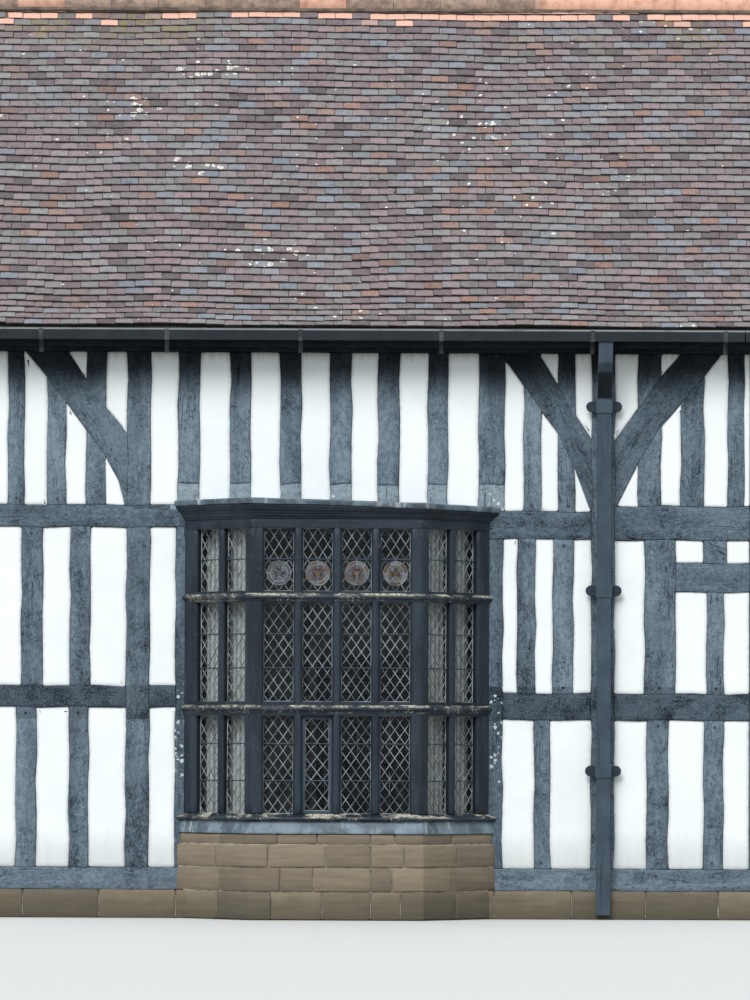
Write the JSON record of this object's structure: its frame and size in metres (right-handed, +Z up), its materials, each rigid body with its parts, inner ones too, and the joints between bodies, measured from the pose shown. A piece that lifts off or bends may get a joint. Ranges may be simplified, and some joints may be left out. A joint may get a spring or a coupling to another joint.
{
  "type": "half timbered house",
  "caption": "Close studded half timbered house with plaster panels, curved braces, a canted leaded bay window and a tiled gable roof.",
  "frame": {"origin": "centre of the plan at ground level, on the underside of the ground floor", "axes": "+X along the front to the right as seen from the front, -Y the front with the bay window, +Z up"},
  "size_m": [7.56, 6.704, 8.7228],
  "materials": {
    "plinth_stone": "rough",
    "floor_stone": "worn",
    "oak": "weathered",
    "roof_oak": "rough sawn",
    "plaster": "limewashed",
    "joinery": "worn paint",
    "tiles": "matt",
    "ridge_clay": "matt",
    "lead": "dull",
    "iron": "painted",
    "glass": "clear",
    "linen": "soft"
  },
  "bodies": {
    "root": {"front_plinth": "plinth_stone", "back_plinth": "plinth_stone", "side_plinths": "plinth_stone", "bay_plinth": "plinth_stone", "ground_floor": "floor_stone", "sill_beams": "oak", "corner_posts": "oak", "main_posts": "oak", "window_posts": "oak", "wall_plates": "oak", "tie_beams": "oak", "front_rails": "oak", "front_upper_studs": "oak", "front_middle_studs": "oak", "front_lower_studs": "oak", "front_braces": "oak", "front_upper_panels": "plaster", "front_middle_panels": "plaster", "front_lower_panels": "plaster", "back_rails": "oak", "back_braces": "oak", "back_studs": "oak", "back_panels": "plaster", "back_door_frame": "joinery", "back_door": "joinery", "back_windows": "joinery", "back_glass": "glass", "end_posts": "oak", "end_rails": "oak", "end_braces": "oak", "end_studs": "oak", "end_panels": "plaster", "rafters": "roof_oak", "roof_front": "tiles", "roof_back": "tiles", "ridge_tiles": "ridge_clay", "barge_boards": "oak", "fascias": "joinery", "gutters": "iron", "gutter_brackets": "iron", "downpipe": "iron", "pipe_collars": "iron", "bay_apron": "lead", "bay_sill": "joinery", "bay_posts": "joinery", "bay_mullions": "joinery", "bay_transoms": "joinery", "bay_drips": "joinery", "bay_head": "joinery", "bay_cornice": "joinery", "bay_lead_roof": "lead", "bay_glass": "glass", "bay_casement": "iron", "bay_curtains": "linen"}
  },
  "joints": []
}
